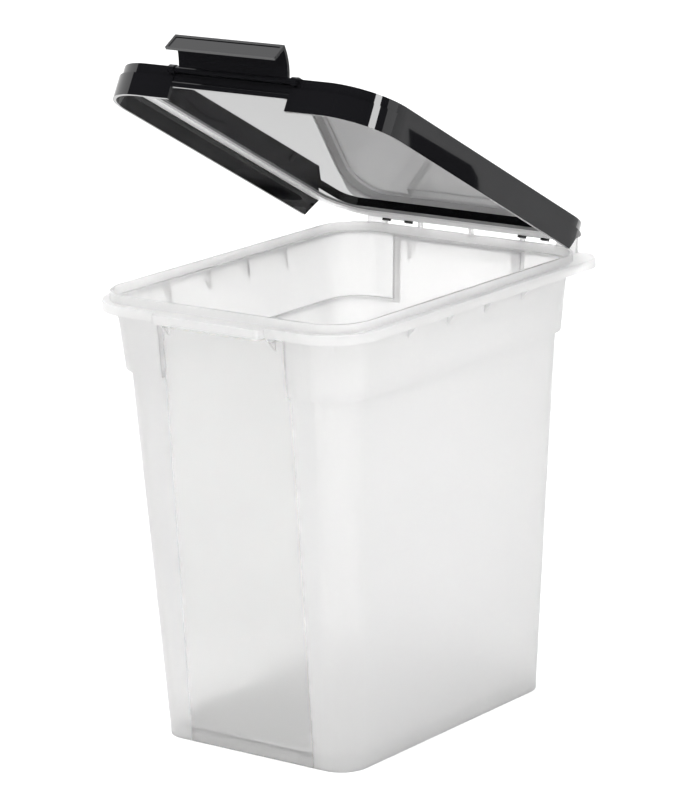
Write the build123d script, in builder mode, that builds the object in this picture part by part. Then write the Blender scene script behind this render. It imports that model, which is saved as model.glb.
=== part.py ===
from build123d import *

import os
from math import cos, hypot, radians, sin, tan

os.makedirs("parts", exist_ok=True)

# Bin body: heights above the table, half widths (across, X) and half lengths (front to back, Y)
wall = 2.0
base_half_x = 75.4
base_half_y = 107.4
base_corner = 18.0
shoulder_z = 240.0
lower_draft = 12.4
shoulder_corner = 21.0
band_step = 3.7
band_draft = 3.5
band_corner = 25.0
floor_z = 7.0
floor_thickness = 2.0
foot_wall = 2.6

# Bin rim: sealing lip, flange with a turned-down edge, and the notch where the latch hooks
bin_height = 290.0
lip_half_x = 98.5
lip_half_y = 130.0
lip_corner = 28.0
lip_thickness = 2.2
flange_half_x = 103.4
flange_front_y = -135.5
flange_back_y = 141.5
flange_corner = 34.0
flange_rear_corner = 18.0
flange_rear_start_y = 60.0
flange_top = 284.5
flange_thickness = 2.0
flange_edge_drop = 6.0
catch_half_width = 42.0
catch_front_y = -141.5
catch_corner = 3.0

# Window panels, front and back: flat strips that run up through the band
panel_half_width = 49.0

# Gussets under the flange
gusset_thickness = 1.8
gusset_height = 16.0
side_gusset_spacing = 40.0
side_gusset_count = 4
end_gusset_x = 41.5

# Hinge: a rail on posts above the rear flange, gripped by two clips of the lid
rail_radius = 2.2
hinge_y = 137.0
hinge_z = 298.0
rail_half_length = 83.5
post_thickness = 3.0
post_width = 2.2
post_spacing = 41.0
bracket_width = 15.0
clip_centre_x = 54.5
clip_width = 23.5
clip_outer_radius = 4.5
clip_running_clearance = 0.08
clip_mouth_half_angle = 52.0
clip_leg_back = -2.4
clip_leg_drop = 9.0
clip_notch_width = 12.5
clip_notch_height = 1.6

# Lid, in its closed place: a stepped shell with a lowered seal flange round a raised centre
lid_open_angle = 29.0
lid_half_x = 106.7
lid_front_y = -138.2
lid_back_y = 133.8
lid_corner = 36.5
lid_wall = 2.2
skirt_bottom_z = 277.3
tier_z = 291.9
tier_inset = 1.5
lid_top_z = 298.4
seal_flange_z = 291.7
centre_half_x = 85.0
centre_half_y = 114.0
centre_corner = 12.0
centre_under_z = 294.5
skirt_end_low_y = 99.5
skirt_end_high_y = 109.0

# Gasket
gasket_width = 9.5
gasket_thickness = 1.5
gasket_side_gap = 0.25

# Latch, hinged on the front edge of the lid
latch_gap_half_width = 45.0
latch_end_gap = 0.4
latch_open_angle = 122.0
latch_hinge_y = -138.0
latch_hinge_z = 296.2
latch_barrel_radius = 2.0
latch_pin_radius = 1.4
latch_pin_length = 3.0
latch_pin_clearance = 0.08
latch_plate = 2.0
latch_reach = 21.0
latch_closed_lean = 20.0
latch_hook_length = 11.0
latch_hook_angle = 68.0
latch_bulge = 1.6
latch_half_width = 42.0
latch_border = 1.8
latch_panel_depth = 0.5
latch_trough_clearance = 0.8
gap_wall_y = -137.5
gap_wall_bottom_z = 285.2
gap_bead_radius = 2.2
ear_width = 4.2
ear_radius = 2.9


def tapered_box(low, high):
    """Loft a rounded box between two sections: height, half width, half length, corner radius."""
    with BuildPart() as box:
        for height, half_x, half_y, corner in (low, high):
            with BuildSketch(Plane.XY.offset(height)):
                RectangleRounded(2 * half_x, 2 * half_y, corner)
        loft(ruled=True)
    return box.part


def lower_section(height, inset=0.0):
    """Section of the tapered lower body at a height, moved in from its outer face."""
    share = height / shoulder_z
    half_x = base_half_x + lower_draft * share - inset
    half_y = base_half_y + lower_draft * share - inset
    corner = base_corner + (shoulder_corner - base_corner) * share - inset
    return height, half_x, half_y, corner


def band_section(height, inset=0.0):
    """Section of the stepped-out band below the rim."""
    share = (height - shoulder_z) / (flange_top - shoulder_z)
    half_x = base_half_x + lower_draft + band_step + band_draft * share - inset
    half_y = base_half_y + lower_draft + band_step + band_draft * share - inset
    return height, half_x, half_y, band_corner - inset


# The front wall leans outwards: its plane has X across and Y up the wall
wall_slope = lower_draft / shoulder_z
wall_norm = hypot(1, wall_slope)
front_wall = Plane(
    origin=(0, -base_half_y, 0),
    x_dir=(1, 0, 0),
    z_dir=(0, -1 / wall_norm, -wall_slope / wall_norm),
)


def panel_pockets(margin):
    """The space outside both window panels, widened all round by a margin."""
    with BuildPart() as pockets:
        with BuildSketch(front_wall.offset(-margin)):
            with Locations((0, (shoulder_z - 4 - margin) * wall_norm)):
                Rectangle(
                    2 * (panel_half_width + margin),
                    flange_top - shoulder_z + 10,
                    align=(Align.CENTER, Align.MIN),
                )
        extrude(amount=margin + 3 * band_step)
        mirror(about=Plane.XZ)
    return pockets.part


def ring(low_z, high_z, half_x, half_y, corner, thickness):
    """An upright wall of a given thickness inside a rounded outline."""
    with BuildPart() as wall_ring:
        with BuildSketch(Plane.XY.offset(low_z)):
            RectangleRounded(2 * half_x, 2 * half_y, corner)
            RectangleRounded(
                2 * (half_x - thickness),
                2 * (half_y - thickness),
                corner - thickness,
                mode=Mode.SUBTRACT,
            )
        extrude(amount=high_z - low_z)
    return wall_ring.part


# Bin: body and cavity
body_lower = tapered_box(lower_section(0), lower_section(shoulder_z))
body_band = tapered_box(band_section(shoulder_z), band_section(flange_top))
outer_pockets = panel_pockets(0)
cavity_top = bin_height + 1
cavity_lower = tapered_box(
    lower_section(floor_z + floor_thickness, wall), lower_section(shoulder_z + wall, wall)
)
cavity_band = tapered_box(
    band_section(shoulder_z + wall, wall), band_section(flange_top, wall)
)
inner_pockets = panel_pockets(wall)
foot_recess = tapered_box(lower_section(0, foot_wall), lower_section(floor_z, foot_wall))
_, mouth_half_x, mouth_half_y, mouth_corner = band_section(flange_top, wall)
lip_ring = ring(flange_top - 1, bin_height, lip_half_x, lip_half_y, lip_corner, lip_thickness)

with BuildSketch(Plane.XY.offset(flange_top - flange_edge_drop)) as flange_plan:
    with Locations((0, (flange_front_y + flange_back_y) / 2)):
        RectangleRounded(2 * flange_half_x, flange_back_y - flange_front_y, flange_corner)
    with Locations((0, (flange_rear_start_y + flange_back_y) / 2)):
        RectangleRounded(2 * flange_half_x, flange_back_y - flange_rear_start_y, flange_rear_corner)
    with Locations((0, catch_front_y)):
        RectangleRounded(
            2 * catch_half_width,
            2 * (flange_front_y - catch_front_y) + 2 * catch_corner,
            catch_corner,
            align=(Align.CENTER, Align.MIN),
        )

with BuildPart() as flange:
    add(flange_plan.sketch)
    extrude(amount=flange_edge_drop)
    with BuildSketch(Plane.XY.offset(flange_top - flange_edge_drop)):
        add(flange_plan.sketch)
        offset(amount=-flange_thickness, kind=Kind.ARC)
    extrude(amount=flange_edge_drop - flange_thickness, mode=Mode.SUBTRACT)

with BuildPart() as cavity:
    add(cavity_band)
    add(inner_pockets, mode=Mode.SUBTRACT)
    add(cavity_lower)

with BuildPart() as food_bin:
    add(body_lower)
    add(body_band)
    add(outer_pockets, mode=Mode.SUBTRACT)
    add(flange.part)
    add(lip_ring)
    add(cavity.part, mode=Mode.SUBTRACT)
    add(foot_recess, mode=Mode.SUBTRACT)

    # Gussets tie the flange to the band along both sides and beside the latch and hinge
    _, gusset_root_x, gusset_root_y, _ = band_section(flange_top - gusset_height, wall / 2)
    gusset_reach_x = flange_half_x - flange_thickness / 2
    gusset_reach_y = -flange_front_y - flange_thickness / 2
    side_rows = [
        (row - (side_gusset_count - 1) / 2) * side_gusset_spacing
        for row in range(side_gusset_count)
    ]
    gusset_top = flange_top - flange_thickness / 2
    side_planes = [Plane(origin=(0, row, 0), x_dir=(1, 0, 0), z_dir=(0, -1, 0)) for row in side_rows]
    with BuildSketch(*side_planes):
        with BuildLine():
            Polyline(
                (gusset_root_x, flange_top - gusset_height),
                (gusset_reach_x, gusset_top - flange_edge_drop / 2),
                (gusset_reach_x, gusset_top),
                (gusset_root_x, gusset_top),
                close=True,
            )
        make_face()
        mirror(about=Plane.YZ)
    extrude(amount=gusset_thickness / 2, both=True)
    end_planes = [
        Plane(origin=(across, 0, 0), x_dir=(0, 1, 0), z_dir=(1, 0, 0))
        for across in (-end_gusset_x, end_gusset_x)
    ]
    with BuildSketch(*end_planes):
        with BuildLine():
            Polyline(
                (gusset_root_y, flange_top - gusset_height),
                (gusset_reach_y, gusset_top - flange_edge_drop / 2),
                (gusset_reach_y, gusset_top),
                (gusset_root_y, gusset_top),
                close=True,
            )
        make_face()
        mirror(about=Plane.YZ)
    extrude(amount=gusset_thickness / 2, both=True)

    # Hinge rail, its thin posts and the wider brackets at its ends
    with BuildSketch(Plane(origin=(-rail_half_length, hinge_y, hinge_z), z_dir=(1, 0, 0))):
        Circle(rail_radius)
    extrude(amount=2 * rail_half_length)
    post_height = hinge_z - flange_top
    with BuildSketch(Plane.XY.offset(flange_top - 0.5)):
        with Locations((0, hinge_y)):
            with GridLocations(post_spacing, 0, 3, 1):
                Rectangle(post_width, post_thickness)
            with GridLocations(2 * rail_half_length - bracket_width, 0, 2, 1):
                Rectangle(bracket_width, post_thickness)
    extrude(amount=post_height + 0.5)

food_bin.part.label = "bin"
export_step(food_bin.part, "parts/bin.step")

# The opened lid's own frame has its origin on the hinge axis, X across, Y to the back, Z up
lid_turn = radians(lid_open_angle)
open_lid = Plane(
    origin=(0, hinge_y, hinge_z),
    x_dir=(1, 0, 0),
    z_dir=(0, sin(lid_turn), cos(lid_turn)),
)


def lid_level(height):
    """Plane across the opened lid at a height that is given for the closed lid."""
    return open_lid.offset(height - hinge_z)


def lid_section(across):
    """Plane along the opened lid, at a distance across it: X to the back and Y up."""
    return Plane(
        origin=open_lid.from_local_coords((across, 0, 0)),
        x_dir=open_lid.y_dir,
        z_dir=open_lid.x_dir,
    )


lid_centre_y = (lid_front_y + lid_back_y) / 2
lid_half_y = (lid_back_y - lid_front_y) / 2


def lid_slab(low_z, high_z, inset):
    """A slab of the lid's outline between two heights, moved in from the outer face."""
    with BuildPart() as slab:
        with BuildSketch(lid_level(low_z)):
            with Locations((0, lid_centre_y - hinge_y)):
                RectangleRounded(2 * (lid_half_x - inset), 2 * (lid_half_y - inset), lid_corner - inset)
        extrude(amount=high_z - low_z)
    return slab.part


def lid_centre(low_z, high_z, inset):
    """The raised centre's block, moved in from the inside of its wall."""
    with BuildPart() as block:
        with BuildSketch(lid_level(low_z)):
            with Locations((0, -hinge_y)):
                RectangleRounded(
                    2 * (centre_half_x - inset), 2 * (centre_half_y - inset), centre_corner - inset
                )
        extrude(amount=high_z - low_z)
    return block.part


skirt_tier = lid_slab(skirt_bottom_z, tier_z, 0)
rim_tier = lid_slab(tier_z, lid_top_z, tier_inset)
skirt_space = lid_slab(skirt_bottom_z, seal_flange_z, lid_wall)
moat_space = lid_slab(seal_flange_z + lid_wall, lid_top_z, tier_inset + lid_wall)
centre_raise = lid_centre(seal_flange_z, centre_under_z + lid_wall, -lid_wall)
centre_space = lid_centre(seal_flange_z, centre_under_z, 0)

with BuildPart() as lid:
    add(skirt_tier)
    add(rim_tier)
    add(skirt_space, mode=Mode.SUBTRACT)
    add(moat_space, mode=Mode.SUBTRACT)
    add(centre_raise)
    add(centre_space, mode=Mode.SUBTRACT)

    # The skirt stops short of the hinge on a slanted line, with only a rim behind it
    with BuildSketch(lid_section(-lid_half_x - 1)):
        with BuildLine():
            Polyline(
                (skirt_end_low_y - hinge_y, skirt_bottom_z - 1 - hinge_z),
                (lid_back_y + 1 - hinge_y, skirt_bottom_z - 1 - hinge_z),
                (lid_back_y + 1 - hinge_y, seal_flange_z - hinge_z),
                (skirt_end_high_y - hinge_y, seal_flange_z - hinge_z),
                close=True,
            )
        make_face()
    extrude(amount=2 * lid_half_x + 2, mode=Mode.SUBTRACT)

    # Clips that snap over the rail, open downwards
    clip_start = rail_radius + clip_running_clearance
    mouth_reach = 2 * clip_outer_radius
    mouth_half_width = mouth_reach * tan(radians(clip_mouth_half_angle))
    with BuildSketch(
        lid_section(-clip_centre_x - clip_width / 2), lid_section(clip_centre_x - clip_width / 2)
    ):
        Circle(clip_outer_radius)
        with Locations(((lid_back_y - lid_wall - hinge_y) / 2, clip_outer_radius / 2)):
            Rectangle(hinge_y - lid_back_y + lid_wall, clip_outer_radius)
        with Locations(((lid_back_y - hinge_y - lid_wall / 2), 0)):
            Rectangle(lid_wall, clip_outer_radius)
        Circle(clip_start, mode=Mode.SUBTRACT)
        with BuildLine():
            Polyline(
                (0, 0),
                (-mouth_half_width, -mouth_reach),
                (mouth_half_width, -mouth_reach),
                close=True,
            )
        make_face(mode=Mode.SUBTRACT)
    extrude(amount=clip_width)
    with BuildSketch(open_lid.offset(-clip_leg_drop)):
        with Locations((0, clip_leg_back - lid_wall / 2)):
            with GridLocations(2 * clip_centre_x, 0, 2, 1):
                Rectangle(clip_width, lid_wall)
    extrude(amount=clip_leg_drop - rail_radius / 2)
    with BuildSketch(open_lid.offset(-clip_leg_drop)):
        with Locations((0, clip_leg_back - lid_wall / 2)):
            with GridLocations(2 * clip_centre_x, 0, 2, 1):
                Rectangle(clip_notch_width, 2 * lid_wall)
    extrude(amount=clip_notch_height, mode=Mode.SUBTRACT)

    # Latch recess: a shorter, thinner front wall with a trough for the latch's barrel above it
    recess_width = 2 * latch_gap_half_width
    trough_back_y = latch_hinge_y + latch_barrel_radius + latch_trough_clearance
    for low_z, high_z, back_y in (
        (skirt_bottom_z - 1, gap_wall_bottom_z, lid_front_y + lid_wall),
        (gap_wall_bottom_z, lid_top_z + 1, gap_wall_y),
        (seal_flange_z + lid_wall, lid_top_z + 1, trough_back_y),
    ):
        with BuildSketch(lid_level(low_z)):
            with Locations((0, (lid_front_y + back_y) / 2 - 2 - hinge_y)):
                Rectangle(recess_width, back_y - lid_front_y + 4)
        extrude(amount=high_z - low_z, mode=Mode.SUBTRACT)
    with BuildSketch(lid_level(seal_flange_z + lid_wall / 2)):
        with Locations((0, trough_back_y + lid_wall / 2 - hinge_y)):
            Rectangle(recess_width + 2 * lid_wall, lid_wall)
    extrude(amount=lid_top_z - seal_flange_z - lid_wall / 2)
    with BuildSketch(lid_section(-latch_gap_half_width - lid_wall / 2)):
        with Locations(
            (lid_front_y + gap_bead_radius - hinge_y, gap_wall_bottom_z + gap_bead_radius - hinge_z)
        ):
            Circle(gap_bead_radius)
    extrude(amount=2 * latch_gap_half_width + lid_wall)
    ear_starts = (-latch_gap_half_width - ear_width, latch_gap_half_width)
    with BuildSketch(*[lid_section(start) for start in ear_starts]):
        with Locations((latch_hinge_y - hinge_y, latch_hinge_z - hinge_z)):
            Circle(ear_radius)
        with Locations((latch_hinge_y + ear_radius - hinge_y, latch_hinge_z - hinge_z)):
            Rectangle(2 * ear_radius, 2 * ear_radius)
    extrude(amount=ear_width)
    with BuildSketch(lid_section(-latch_gap_half_width - latch_pin_length - latch_end_gap)):
        with Locations((latch_hinge_y - hinge_y, latch_hinge_z - hinge_z)):
            Circle(latch_pin_radius + latch_pin_clearance)
    extrude(amount=2 * (latch_gap_half_width + latch_pin_length + latch_end_gap), mode=Mode.SUBTRACT)

lid.part.label = "lid"
export_step(lid.part, "parts/lid.step")

# Gasket: a flat ring under the seal flange, over the lip
gasket_inset = lid_wall + gasket_side_gap
with BuildPart() as gasket:
    with BuildSketch(lid_level(seal_flange_z - gasket_thickness)):
        with Locations((0, lid_centre_y - hinge_y)):
            RectangleRounded(
                2 * (lid_half_x - gasket_inset), 2 * (lid_half_y - gasket_inset), lid_corner - gasket_inset
            )
            RectangleRounded(
                2 * (lid_half_x - gasket_inset - gasket_width),
                2 * (lid_half_y - gasket_inset - gasket_width),
                lid_corner - gasket_inset - gasket_width,
                mode=Mode.SUBTRACT,
            )
    extrude(amount=gasket_thickness)

gasket.part.label = "gasket"
export_step(gasket.part, "parts/gasket.step")

# The opened latch's section plane has X away from the hinge along the plate when it hangs shut
latch_turn = radians(lid_open_angle + latch_open_angle)
latch_start = -latch_gap_half_width + latch_end_gap
latch_origin = open_lid.from_local_coords((latch_start, latch_hinge_y - hinge_y, latch_hinge_z - hinge_z))
latch_section = Plane(
    origin=latch_origin,
    x_dir=(0, cos(latch_turn), -sin(latch_turn)),
    z_dir=(1, 0, 0),
)
lean = radians(latch_closed_lean)
hook_heading = lean + radians(latch_hook_angle)
apex_y = -latch_reach * sin(lean)
apex_z = -latch_reach * cos(lean)
hook_y = apex_y + latch_hook_length * sin(hook_heading)
hook_z = apex_z + latch_hook_length * cos(hook_heading)
bulge_y = apex_y / 2 - latch_bulge * cos(lean)
bulge_z = apex_z / 2 + latch_bulge * sin(lean)

hook_normal_y = cos(hook_heading)
hook_normal_z = -sin(hook_heading)
hook_face_centre = latch_section.from_local_coords(
    (
        (apex_y + hook_y + latch_plate * hook_normal_y) / 2,
        (apex_z + hook_z + latch_plate * hook_normal_z) / 2,
        latch_gap_half_width - latch_end_gap,
    )
)
hook_face = Plane(
    origin=hook_face_centre,
    x_dir=(1, 0, 0),
    z_dir=latch_section.x_dir * hook_normal_y + latch_section.y_dir * hook_normal_z,
)

with BuildPart() as latch:
    with BuildSketch(latch_section.offset(latch_gap_half_width - latch_end_gap - latch_half_width)):
        with BuildLine():
            ThreePointArc((0, 0), (bulge_y, bulge_z), (apex_y, apex_z))
            Line((apex_y, apex_z), (hook_y, hook_z))
        trace(line_width=latch_plate)
    extrude(amount=2 * latch_half_width)
    with BuildSketch(hook_face):
        Rectangle(2 * (latch_half_width - latch_border), latch_hook_length - latch_border)
    extrude(amount=-latch_panel_depth, mode=Mode.SUBTRACT)
    with BuildSketch(latch_section):
        Circle(latch_barrel_radius)
    extrude(amount=2 * (latch_gap_half_width - latch_end_gap))
    with BuildSketch(latch_section.offset(-latch_pin_length)):
        Circle(latch_pin_radius)
    extrude(amount=2 * (latch_gap_half_width - latch_end_gap + latch_pin_length))

latch.part.label = "latch"
export_step(latch.part, "parts/latch.step")
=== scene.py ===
from math import cos, radians, sin

import bpy
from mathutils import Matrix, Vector

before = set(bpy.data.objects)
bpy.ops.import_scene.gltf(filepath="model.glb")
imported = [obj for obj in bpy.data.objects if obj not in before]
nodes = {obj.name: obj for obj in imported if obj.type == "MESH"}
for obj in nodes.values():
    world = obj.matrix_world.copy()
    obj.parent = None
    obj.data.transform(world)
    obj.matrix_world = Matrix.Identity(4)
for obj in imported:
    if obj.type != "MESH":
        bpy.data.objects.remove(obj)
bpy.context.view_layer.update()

# Camera, as fitted to the photograph
IMAGE_WIDTH = 700
FOCAL_PIXELS = 4124
SENSOR_WIDTH = 36.0
AZIMUTH = radians(37.5)
ELEVATION = radians(14.1)
ROLL = radians(-1.5)
DISTANCE = 2.63
AIM = Vector((0, 0, 0.145))
SLIDE_RIGHT = -0.0002
SLIDE_UP = 0.0617
CLIP_END = 50

# Bin: frosted plastic. Grain is noise scale, lowest and highest roughness.
# Ripple is noise scale, noise detail, bump strength and bump depth.
BIN_COLOUR = (0.975, 0.97, 0.966, 1)
BIN_IOR = 1.49
BIN_SCATTER_DEPTH = 0.012
BIN_SEE_THROUGH = 0.6
BIN_GRAIN = (60, 0.36, 0.46)
BIN_RIPPLE = (900, 2, 0.05, 0.0003)

# Window: the clearer strip down the front wall, repeated more faintly down the back wall
WINDOW_HALF = 0.049
WINDOW_SIDE_BLUR = 0.0005
WINDOW_TOP = 0.276
WINDOW_TOP_BLUR = 0.001
WINDOW_WALL_STARTS = 0.094
WINDOW_WALL_FULL = 0.1
WINDOW_BACK_STRENGTH = 0.4
WINDOW_STRENGTH_TURN = 0.05
WINDOW_SEE_THROUGH = 0.76
WINDOW_ROUGHNESS_SHARE = 0.55

# Lid and latch: polished black plastic
BLACK_COLOUR = (0.006, 0.006, 0.007, 1)
BLACK_IOR = 1.53
BLACK_GRAIN = (25, 0.012, 0.03)
BLACK_RIPPLE = (9, 1, 0.03, 0.001)

# Gasket: light grey soft seal
SEAL_COLOUR = (0.9, 0.9, 0.9, 1)
SEAL_GRAIN = (80, 0.42, 0.55)
SEAL_RIPPLE = (1500, 2, 0.05, 0.0002)

# Stage: a wide pale floor
FLOOR_HALF = 30.0
FLOOR_Z = -0.0002
FLOOR_COLOUR = (0.92, 0.92, 0.92, 1)
FLOOR_ROUGHNESS = 0.7
FLOOR_SPECULAR = 0.2
WORLD_STRENGTH = 1.2
DARK_CARD = 0.01
GREY_CARD = 0.42


def make_camera():
    back = Vector((sin(AZIMUTH) * cos(ELEVATION), -cos(AZIMUTH) * cos(ELEVATION), sin(ELEVATION)))
    level_right = (-back).cross(Vector((0, 0, 1))).normalized()
    level_up = level_right.cross(-back)
    right = level_right * cos(ROLL) + level_up * sin(ROLL)
    up = level_up * cos(ROLL) - level_right * sin(ROLL)
    camera = bpy.data.objects.new("camera", bpy.data.cameras.new("camera"))
    bpy.context.scene.collection.objects.link(camera)
    camera.location = AIM + back * DISTANCE + right * SLIDE_RIGHT + up * SLIDE_UP
    turn = camera.rotation_euler.to_matrix()
    turn.col[0] = right
    turn.col[1] = up
    turn.col[2] = back
    camera.rotation_euler = turn.to_euler()
    camera.data.sensor_fit = "HORIZONTAL"
    camera.data.sensor_width = SENSOR_WIDTH
    camera.data.lens = FOCAL_PIXELS / IMAGE_WIDTH * SENSOR_WIDTH
    camera.data.clip_end = CLIP_END
    bpy.context.scene.camera = camera


class Nodes:
    """A small helper that adds and joins shader nodes in one material."""

    def __init__(self, name):
        self.material = bpy.data.materials.new(name)
        self.material.use_nodes = True
        self.tree = self.material.node_tree
        self.shader = self.tree.nodes["Principled BSDF"]

    def add(self, kind, **settings):
        node = self.tree.nodes.new(kind)
        for key, value in settings.items():
            setattr(node, key, value)
        return node

    def link(self, source, target):
        self.tree.links.new(source, target)

    def put(self, node, **values):
        for key, value in values.items():
            node.inputs[key.replace("_", " ")].default_value = value

    def place(self):
        """Where a point of the surface lies in the shared frame."""
        return self.add("ShaderNodeTexCoord").outputs["Object"]

    def noise(self, scale, detail=4.0):
        texture = self.add("ShaderNodeTexNoise")
        self.put(texture, Scale=scale, Detail=detail, Roughness=0.5)
        self.link(self.place(), texture.inputs["Vector"])
        return texture.outputs["Fac"]

    def spread(self, source, low, high, from_low=0.0, from_high=1.0):
        """Map one range of a value to another, and hold it within that range."""
        scaled = self.add("ShaderNodeMapRange")
        self.put(scaled, From_Min=from_low, From_Max=from_high, To_Min=low, To_Max=high)
        self.link(source, scaled.inputs["Value"])
        return scaled.outputs["Result"]

    def size_of(self, source):
        """The value without its sign."""
        unsigned = self.add("ShaderNodeMath", operation="ABSOLUTE")
        self.link(source, unsigned.inputs[0])
        return unsigned.outputs["Value"]

    def times(self, first, *others):
        result = first
        for other in others:
            product = self.add("ShaderNodeMath", operation="MULTIPLY")
            self.link(result, product.inputs[0])
            self.link(other, product.inputs[1])
            result = product.outputs["Value"]
        return result

    def grain(self, scale, low, high):
        """Roughness that wanders between two values."""
        return self.spread(self.noise(scale), low, high, 0.3, 0.7)

    def ripple(self, scale, detail, strength, depth):
        """The slight unevenness of a moulded surface."""
        bump = self.add("ShaderNodeBump")
        self.put(bump, Strength=strength, Distance=depth)
        self.link(self.noise(scale, detail), bump.inputs["Height"])
        self.link(bump.outputs["Normal"], self.shader.inputs["Normal"])


def frosted_plastic():
    """Milky plastic, clearer in two window strips.

    The value named window is 1 inside the front strip, less inside the back one and 0 outside both.
    """
    made = Nodes("frosted_plastic")
    shader = made.shader
    made.put(shader, Base_Color=BIN_COLOUR, IOR=BIN_IOR, Subsurface_Weight=1.0)
    made.put(shader, Subsurface_Scale=BIN_SCATTER_DEPTH, Subsurface_Radius=(1.0, 1.0, 1.0))
    split = made.add("ShaderNodeSeparateXYZ")
    made.link(made.place(), split.inputs["Vector"])
    x, y, z = split.outputs["X"], split.outputs["Y"], split.outputs["Z"]
    side_low = WINDOW_HALF - WINDOW_SIDE_BLUR
    side_high = WINDOW_HALF + WINDOW_SIDE_BLUR
    window = made.times(
        made.spread(made.size_of(x), 1, 0, side_low, side_high),
        made.spread(made.size_of(y), 0, 1, WINDOW_WALL_STARTS, WINDOW_WALL_FULL),
        made.spread(z, 1, 0, WINDOW_TOP - WINDOW_TOP_BLUR, WINDOW_TOP),
        made.spread(y, 1, WINDOW_BACK_STRENGTH, -WINDOW_STRENGTH_TURN, WINDOW_STRENGTH_TURN),
    )
    see_through = made.spread(window, BIN_SEE_THROUGH, WINDOW_SEE_THROUGH)
    made.link(see_through, shader.inputs["Transmission Weight"])
    share = made.spread(window, 1, WINDOW_ROUGHNESS_SHARE)
    made.link(made.times(made.grain(*BIN_GRAIN), share), shader.inputs["Roughness"])
    made.ripple(*BIN_RIPPLE)
    return made.material


def plain_finish(name, grain, ripple, **settings):
    made = Nodes(name)
    made.put(made.shader, **settings)
    made.link(made.grain(*grain), made.shader.inputs["Roughness"])
    made.ripple(*ripple)
    return made.material


def dress(name, material):
    node = nodes[name]
    node.data.materials.clear()
    node.data.materials.append(material)


def make_floor():
    half = FLOOR_HALF
    sides = ((-half, -half), (half, -half), (half, half), (-half, half))
    corners = [(x, y, FLOOR_Z) for x, y in sides]
    mesh = bpy.data.meshes.new("floor")
    mesh.from_pydata(corners, [], [(0, 1, 2, 3)])
    floor = bpy.data.objects.new("floor", mesh)
    bpy.context.scene.collection.objects.link(floor)
    made = Nodes("pale_floor")
    made.put(made.shader, Base_Color=FLOOR_COLOUR, Roughness=FLOOR_ROUGHNESS)
    made.put(made.shader, Specular_IOR_Level=FLOOR_SPECULAR)
    floor.data.materials.append(made.material)


def area_light(name, place, aim, width, height, power, unseen_by):
    """A soft rectangular light that some kinds of ray do not see."""
    data = bpy.data.lights.new(name, "AREA")
    data.energy = power
    data.shape = "RECTANGLE"
    data.size = width
    data.size_y = height
    light = bpy.data.objects.new(name, data)
    light.location = place
    light.rotation_euler = (Vector(aim) - Vector(place)).to_track_quat("-Z", "Y").to_euler()
    for kind in unseen_by:
        setattr(light, "visible_" + kind, False)
    bpy.context.scene.collection.objects.link(light)
    return light


def facing_corners(place, aim, width, height):
    """The corners of a rectangle at one place that faces another."""
    turn = (Vector(aim) - Vector(place)).to_track_quat("Z", "Y")
    half_x = width / 2
    half_y = height / 2
    flat = [(-half_x, -half_y, 0), (half_x, -half_y, 0), (half_x, half_y, 0), (-half_x, half_y, 0)]
    return [Vector(place) + turn @ Vector(corner) for corner in flat]


def studio_card(name, corners, tone):
    """A card that only mirrors see, as studios use to shape what glossy plastic reflects."""
    card = bpy.data.objects.new(name, bpy.data.meshes.new(name))
    card.data.from_pydata(corners, [], [tuple(range(len(corners)))])
    for kind in ("camera", "diffuse", "transmission", "shadow"):
        setattr(card, "visible_" + kind, False)
    made = Nodes(name)
    made.put(made.shader, Base_Color=(tone, tone, tone, 1), Roughness=1.0, Specular_IOR_Level=0.0)
    card.data.materials.append(made.material)
    bpy.context.scene.collection.objects.link(card)


make_camera()

black = plain_finish("black_plastic", BLACK_GRAIN, BLACK_RIPPLE, Base_Color=BLACK_COLOUR, IOR=BLACK_IOR)
dress("bin", frosted_plastic())
dress("lid", black)
dress("latch", black)
dress("gasket", plain_finish("seal_rubber", SEAL_GRAIN, SEAL_RIPPLE, Base_Color=SEAL_COLOUR))

make_floor()

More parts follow.
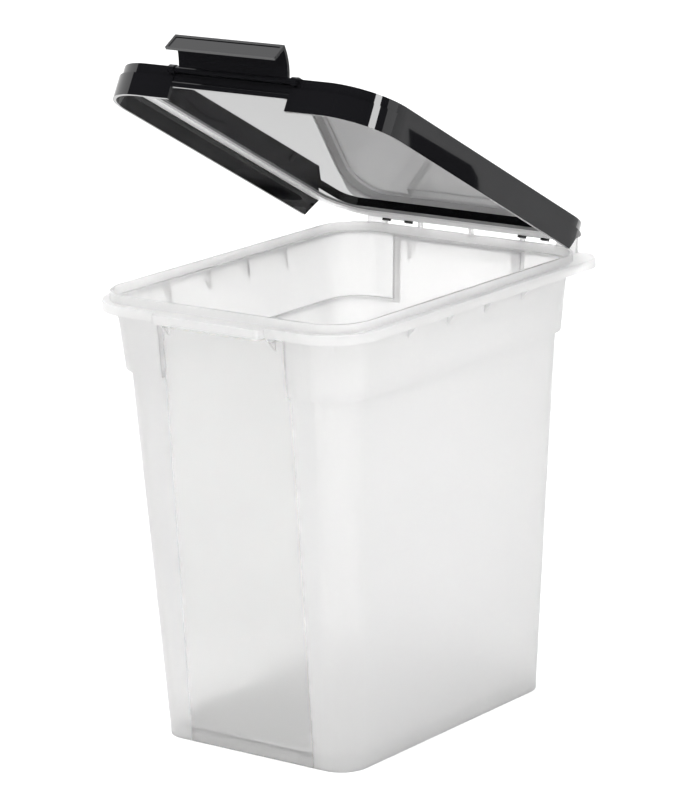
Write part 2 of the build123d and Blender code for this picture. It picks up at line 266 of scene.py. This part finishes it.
# Lights: name, place, aim, width, height, power and the kinds of ray that do not see it
area_light("overhead", (0.2, -0.3, 2.6), (0, 0, 0.2), 2.6, 2.6, 60, ())
area_light("left_fill", (-2.0, -1.8, 1.3), (0, 0, 0.2), 1.5, 1.5, 15, ("glossy", "transmission"))

# These three serve the black plastic alone: its bright edge, and the pale underside of the lid
GLOSS_LIGHTS = (
    ("edge_strip", (2.69, -0.62, 1.22), (0, 0, 0.4), 0.75, 1.2, 32),
    ("back_fill", (-0.62, 0.55, 0.003), (-0.62, 0.55, 1.0), 0.9, 0.9, 0.7),
    ("mouth_fill", (0, 0.03, 0.285), (0, 0.03, 1.0), 0.19, 0.19, 0.032),
)
glossy_parts = bpy.data.collections.new("glossy_parts")
for name in ("lid", "latch"):
    glossy_parts.objects.link(nodes[name])
for settings in GLOSS_LIGHTS:
    light = area_light(*settings, ("camera", "diffuse", "transmission"))
    light.light_linking.receiver_collection = glossy_parts

# Cards: what the lid's front, corners and right side mirror
studio_card("front_card", facing_corners((-1.05, -1.28, 0.87), (0, -0.1, 0.42), 1.75, 2.0), DARK_CARD)
studio_card(
    "low_front_card",
    facing_corners((-0.95, -1.1, 0.002), (-0.95, -1.1, 1.0), 1.7, 1.7),
    DARK_CARD,
)
studio_card(
    "front_corner_card",
    [(-0.35, -1.7, 1.1), (1.53, -0.53, 0.7), (1.53, -0.53, 1.4), (-0.35, -1.7, 2.4)],
    DARK_CARD,
)
studio_card(
    "side_corner_card",
    [(1.26, -0.19, 0.45), (1.28, 0.1, 0.3), (1.28, 0.1, 0.75), (1.26, -0.19, 0.95)],
    DARK_CARD,
)
studio_card(
    "side_card",
    [
        (0.516, 0.48, 0.2),
        (0.505, 0.556, 0.18),
        (0.506, 0.555, 0.225),
        (0.507, 0.548, 0.236),
        (0.516, 0.479, 0.276),
    ],
    DARK_CARD,
)
studio_card("far_side_card", facing_corners((0.76, 0.86, 0.15), (0.1, 0.0, 0.35), 1.3, 0.5), GREY_CARD)

world = bpy.data.worlds.new("studio")
world.use_nodes = True
background = world.node_tree.nodes["Background"]
background.inputs["Color"].default_value = (1, 1, 1, 1)
background.inputs["Strength"].default_value = WORLD_STRENGTH
bpy.context.scene.world = world
bpy.context.scene.view_settings.view_transform = "Standard"
